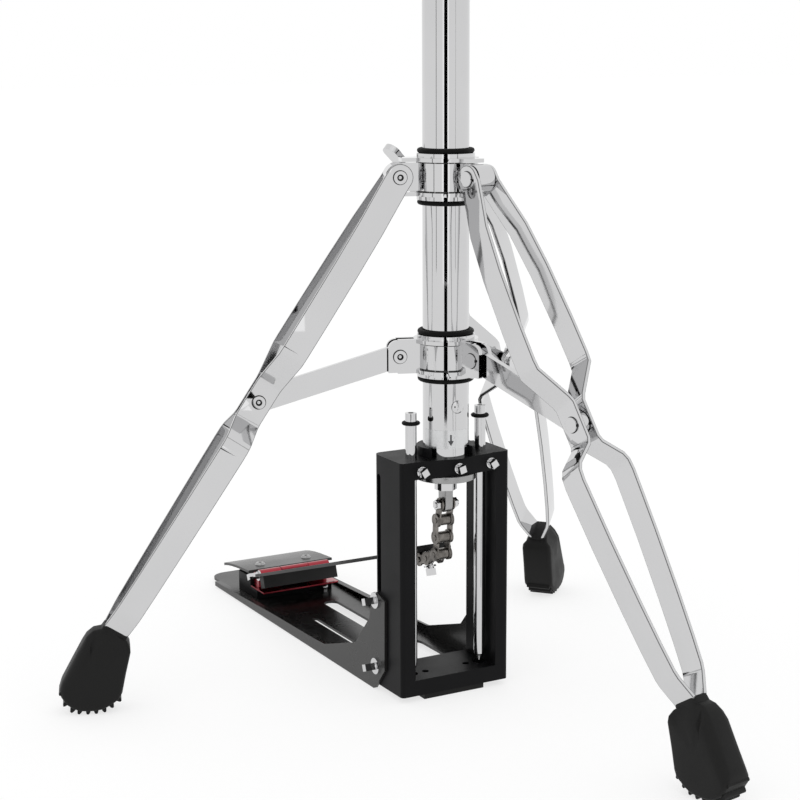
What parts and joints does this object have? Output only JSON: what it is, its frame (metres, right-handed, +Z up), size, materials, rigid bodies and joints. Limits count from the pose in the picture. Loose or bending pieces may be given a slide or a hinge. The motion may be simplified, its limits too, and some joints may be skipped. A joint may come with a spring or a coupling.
{
  "type": "hi-hat stand",
  "caption": "Chain-driven hi-hat stand with a folding double-braced tripod, a rectangular pedal frame, a footboard, a sprung pull rod, a tilting seat and a clutch.",
  "frame": {"origin": "on the floor under the axis of the tube, on the underside of the front pad", "axes": "+Z up along the tube; +Y away from the player; the heel of the pedal points to -Y"},
  "size_m": [0.4714, 0.5975, 1.05],
  "materials": {
    "satin_black": "satin black powder coat",
    "dark_steel": "satin dark grey coat",
    "rubber": "matt black rubber",
    "chrome": "bright chrome plate",
    "red_anodised": "red anodised",
    "nylon": "natural nylon",
    "spring_steel": "zinc-plated steel",
    "board_aluminium": "dark satin cast aluminium",
    "chain_steel": "dark bronze-grey steel",
    "seat_plastic": "black moulded plastic",
    "felt": "pressed wool felt"
  },
  "bodies": {
    "base": {"pedal_frame": "satin_black", "base_plate": "dark_steel", "floor_pads": "rubber", "gusset_screws": "chrome", "frame_screws": "chrome", "base_tube": "chrome", "tube_flange": "chrome", "plate_stud": "chrome", "heel_block": "satin_black", "heel_plate": "dark_steel", "heel_screws": "chrome", "hinge_base": "red_anodised", "hinge_pin": "chrome", "height_bush": "nylon", "height_clamp": "chrome", "spring_seat": "nylon", "return_spring": "spring_steel"},
    "clamp_bolt": {"clamp_wing_bolt": "chrome"},
    "tripod": {"lower_collar": "chrome", "lower_o_rings": "rubber", "brace_rivets": "chrome"},
    "slider": {"upper_collar": "chrome", "upper_o_rings": "rubber"},
    "slider_bolt": {"collar_wing_bolt": "chrome"},
    "pedal": {"footboard": "board_aluminium", "board_hinge": "red_anodised", "toe_bolt": "chrome", "chain_toe_link": "chain_steel"},
    "pull_rod": {"lower_pull_rod": "spring_steel", "rod_tongue": "chrome", "tongue_bolt": "chrome", "spring_cap": "nylon", "rod_coupler": "spring_steel", "upper_pull_rod": "chrome"},
    "chain": {"chain_links": "chain_steel"},
    "upper_mast": {"upper_tube": "chrome", "seat_base": "chrome"},
    "tilt_screw": {"seat_screw": "chrome"},
    "seat": {"seat_cup": "seat_plastic", "seat_felt": "felt"},
    "clutch": {"clutch_sleeve": "chrome", "clutch_nuts": "chrome", "clutch_felts": "felt"},
    "clutch_bolt": {"clutch_screw": "chrome"},
    "spur_left": {"spur_rod_left": "chrome", "spur_o_ring_left": "rubber"},
    "spur_right": {"spur_rod_right": "chrome", "spur_o_ring_right": "rubber"},
    "leg_1": {"leg_bars_1": "chrome", "leg_rivets_1": "chrome", "foot_1": "rubber"},
    "brace_1": {"brace_1": "chrome"},
    "leg_2": {"leg_bars_2": "chrome", "leg_rivets_2": "chrome", "foot_2": "rubber"},
    "brace_2": {"brace_2": "chrome"},
    "leg_3": {"leg_bars_3": "chrome", "leg_rivets_3": "chrome", "foot_3": "rubber"},
    "brace_3": {"brace_3": "chrome"}
  },
  "joints": [
    {"name": "tripod_swivel", "type": "hinge", "parent": "base", "child": "tripod", "pos_m": [0, 0, 0.2403], "axis": [0, 0, 1], "range_deg": [-45, 28]},
    {"name": "tripod_fold", "type": "slide", "parent": "tripod", "child": "slider", "axis": [0, 0, 1], "range_m": [0, 0.152]},
    {"name": "pedal_press", "type": "hinge", "parent": "base", "child": "pedal", "pos_m": [0, -0.247, 0.0235], "axis": [1, 0, 0], "range_deg": [-9.5, 0]},
    {"name": "pull_rod_slide", "type": "slide", "parent": "base", "child": "pull_rod", "axis": [0, 0, 1], "range_m": [-0.041, 0], "stiffness_N_per_m": 700, "springref_m": 0.045, "deforming": ["return_spring"]},
    {"name": "chain_tilt", "type": "hinge", "parent": "pull_rod", "child": "chain", "pos_m": [0, 0, 0.1348], "axis": [1, 0, 0], "range_deg": [0, 13.6]},
    {"name": "height_slide", "type": "slide", "parent": "base", "child": "upper_mast", "axis": [0, 0, 1], "range_m": [-0.1, 0.01]},
    {"name": "height_bolt_turn", "type": "hinge", "parent": "base", "child": "clamp_bolt", "pos_m": [0, 0, 0.568], "axis": [0.1736, -0.9848, 0], "range_deg": [0, 360]},
    {"name": "fold_bolt_turn", "type": "hinge", "parent": "slider", "child": "slider_bolt", "pos_m": [0, 0, 0.3615], "axis": [0.1736, -0.9848, 0], "range_deg": [0, 360]},
    {"name": "tilt_screw_rise", "type": "slide", "parent": "upper_mast", "child": "tilt_screw", "axis": [0, 0, 1], "range_m": [0, 0.0024]},
    {"name": "seat_tilt", "type": "hinge", "parent": "upper_mast", "child": "seat", "pos_m": [0, 0.02, 0.8334], "axis": [-1, 0, 0], "range_deg": [0, 3.55]},
    {"name": "clutch_slide", "type": "slide", "parent": "pull_rod", "child": "clutch", "axis": [0, 0, 1], "range_m": [-0.02, 0.04]},
    {"name": "clutch_bolt_turn", "type": "hinge", "parent": "clutch", "child": "clutch_bolt", "pos_m": [0, 0, 0.989], "axis": [1, 0, 0], "range_deg": [0, 360]},
    {"name": "spur_left_slide", "type": "slide", "parent": "base", "child": "spur_left", "axis": [0, 0, 1], "range_m": [-0.0165, 0.02]},
    {"name": "spur_right_slide", "type": "slide", "parent": "base", "child": "spur_right", "axis": [0, 0, 1], "range_m": [-0.0165, 0.02]},
    {"name": "leg_1_hinge", "type": "hinge", "parent": "slider", "child": "leg_1", "pos_m": [0.03058, -0.01101, 0.3615], "axis": [0.3387, 0.9409, 0], "range_deg": [0, 24.9]},
    {"name": "brace_1_hinge", "type": "hinge", "parent": "tripod", "child": "brace_1", "pos_m": [0.03058, -0.01101, 0.2403], "axis": [0.3387, 0.9409, 0], "range_deg": [-92, 0]},
    {"name": "leg_2_hinge", "type": "hinge", "parent": "slider", "child": "leg_2", "pos_m": [-0.00575, 0.03199, 0.3615], "axis": [-0.9842, -0.1771, 0], "range_deg": [0, 24.9]},
    {"name": "brace_2_hinge", "type": "hinge", "parent": "tripod", "child": "brace_2", "pos_m": [-0.00575, 0.03199, 0.2403], "axis": [-0.9842, -0.1771, 0], "range_deg": [-92, 0]},
    {"name": "leg_3_hinge", "type": "hinge", "parent": "slider", "child": "leg_3", "pos_m": [-0.02482, -0.02098, 0.3615], "axis": [0.6455, -0.7638, 0], "range_deg": [0, 24.9]},
    {"name": "brace_3_hinge", "type": "hinge", "parent": "tripod", "child": "brace_3", "pos_m": [-0.02482, -0.02098, 0.2403], "axis": [0.6455, -0.7638, 0], "range_deg": [-92, 0]}
  ],
  "couplings": [
    {"joint": "pull_rod_slide", "follows": "pedal_press", "m_per_rad": 0.2432},
    {"joint": "chain_tilt", "follows": "pedal_press", "ratio": -1.414},
    {"joint": "seat_tilt", "follows": "tilt_screw_rise", "rad_per_m": 25.5},
    {"joint": "leg_1_hinge", "follows": "tripod_fold", "rad_per_m": 2.8515},
    {"joint": "brace_1_hinge", "follows": "tripod_fold", "rad_per_m": -10.551},
    {"joint": "leg_2_hinge", "follows": "tripod_fold", "rad_per_m": 2.8515},
    {"joint": "brace_2_hinge", "follows": "tripod_fold", "rad_per_m": -10.551},
    {"joint": "leg_3_hinge", "follows": "tripod_fold", "rad_per_m": 2.8515},
    {"joint": "brace_3_hinge", "follows": "tripod_fold", "rad_per_m": -10.551}
  ]
}
